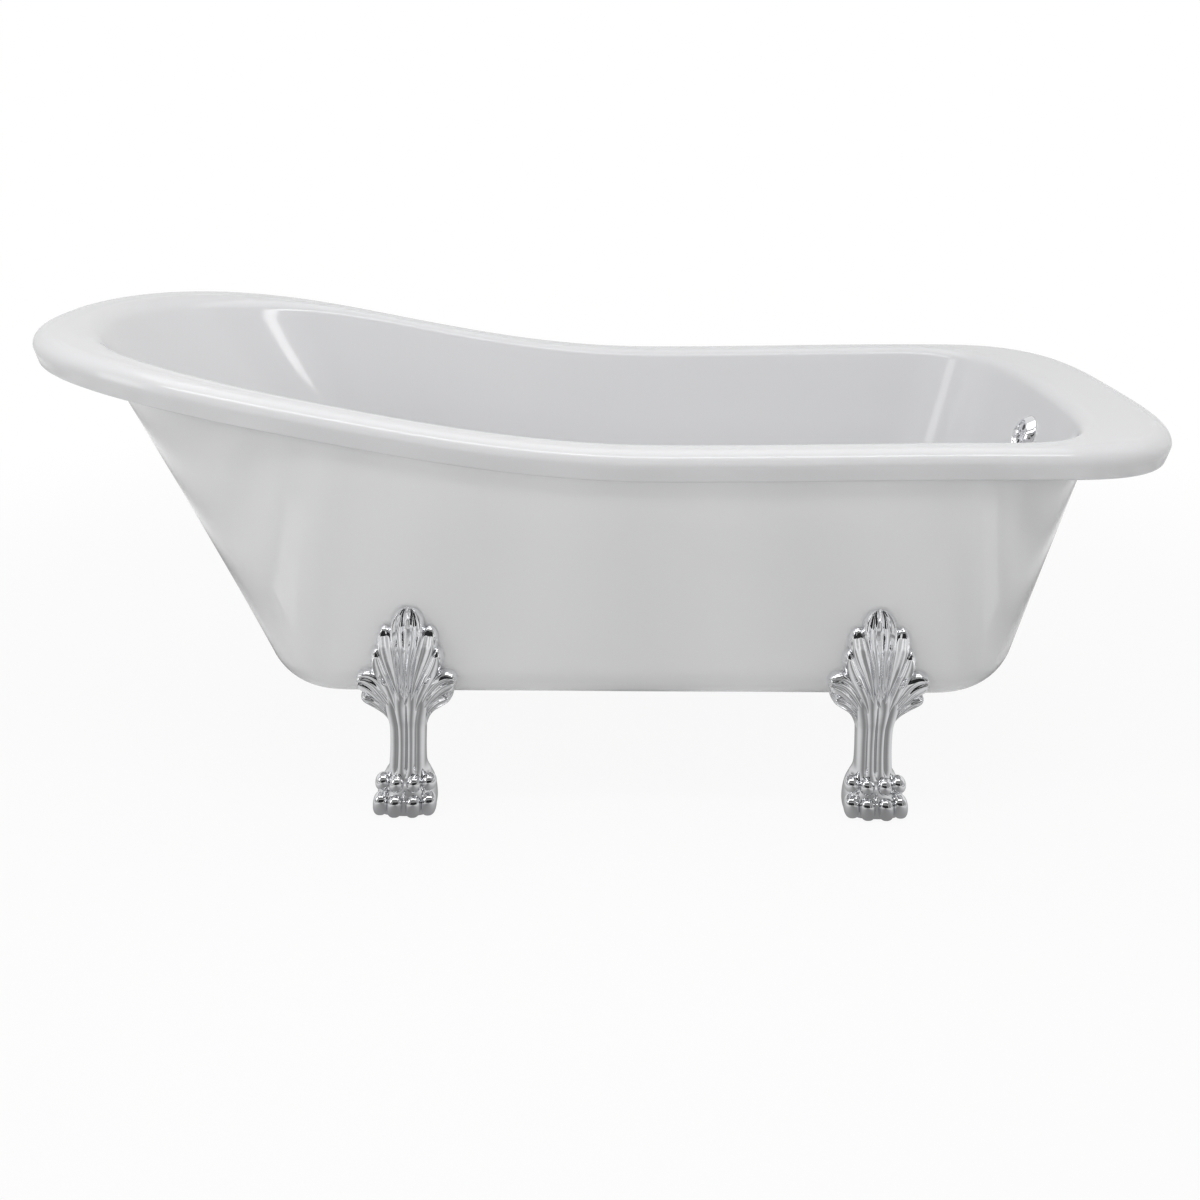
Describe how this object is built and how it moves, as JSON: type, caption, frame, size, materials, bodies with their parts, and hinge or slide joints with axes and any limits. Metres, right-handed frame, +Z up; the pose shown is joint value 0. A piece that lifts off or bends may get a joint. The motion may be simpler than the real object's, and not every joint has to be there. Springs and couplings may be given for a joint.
{
  "type": "clawfoot bathtub",
  "caption": "Freestanding slipper bathtub with a rolled rim on chrome claw feet with levellers, with a click-clack waste and a hidden overflow hose.",
  "frame": {"origin": "on the floor under the middle of the rim's length and width", "axes": "+X along the bath towards the tap deck, +Y away from the pictured side, +Z up"},
  "size_m": [1.7, 0.7501, 0.7347],
  "materials": {
    "white_acrylic": "gloss",
    "white_skin": "gloss",
    "white_sealant": "satin",
    "foot_chrome": "polished",
    "fitting_chrome": "polished",
    "zinc_steel": "zinc plated",
    "board_wood": "raw board",
    "bearer_wood": "planed",
    "black_nylon": "moulded",
    "black_rubber": "moulded",
    "white_plastic": "moulded",
    "grey_hose": "smooth",
    "brass_cartridge": "turned",
    "spring_steel": "drawn wire"
  },
  "bodies": {
    "bath": {"foot_near_head": "foot_chrome", "foot_near_tap": "foot_chrome", "foot_far_head": "foot_chrome", "foot_far_tap": "foot_chrome", "waste_flange": "fitting_chrome", "overflow_cover": "fitting_chrome", "overflow_knob": "fitting_chrome", "bearer_screws": "zinc_steel", "foot_bolts": "zinc_steel", "foot_washers": "zinc_steel", "foot_tee_nuts": "zinc_steel", "leveller_bushes": "zinc_steel", "bath_shell": "white_acrylic", "outer_skin": "white_skin", "seam_bead": "white_sealant", "base_board": "board_wood", "bearer_head": "bearer_wood", "bearer_tap": "bearer_wood", "waste_gasket_upper": "black_rubber", "waste_gasket_lower": "black_rubber", "overflow_gasket": "black_rubber", "waste_body": "white_plastic", "overflow_elbow": "white_plastic", "hose_nut_top": "white_plastic", "hose_nut_low": "white_plastic", "overflow_hose": "grey_hose", "plug_cartridge": "brass_cartridge", "plug_spring": "spring_steel"},
    "plug": {"plug_cap": "fitting_chrome", "plug_seal": "black_rubber", "plug_stem": "fitting_chrome"},
    "leveller_near_head": {"leveller_stud_near_head": "zinc_steel", "leveller_pad_near_head": "black_nylon"},
    "leveller_near_tap": {"leveller_stud_near_tap": "zinc_steel", "leveller_pad_near_tap": "black_nylon"},
    "leveller_far_head": {"leveller_stud_far_head": "zinc_steel", "leveller_pad_far_head": "black_nylon"},
    "leveller_far_tap": {"leveller_stud_far_tap": "zinc_steel", "leveller_pad_far_tap": "black_nylon"}
  },
  "joints": [
    {"name": "plug_slide", "type": "slide", "parent": "bath", "child": "plug", "axis": [0, 0, 1], "range_m": [0, 0.009], "deforming": ["plug_spring"]},
    {"name": "leveller_near_head_screw", "type": "slide", "parent": "bath", "child": "leveller_near_head", "axis": [0, 0, -1], "range_m": [0, 0.012]},
    {"name": "leveller_near_tap_screw", "type": "slide", "parent": "bath", "child": "leveller_near_tap", "axis": [0, 0, -1], "range_m": [0, 0.012]},
    {"name": "leveller_far_head_screw", "type": "slide", "parent": "bath", "child": "leveller_far_head", "axis": [0, 0, -1], "range_m": [0, 0.012]},
    {"name": "leveller_far_tap_screw", "type": "slide", "parent": "bath", "child": "leveller_far_tap", "axis": [0, 0, -1], "range_m": [0, 0.012]}
  ]
}
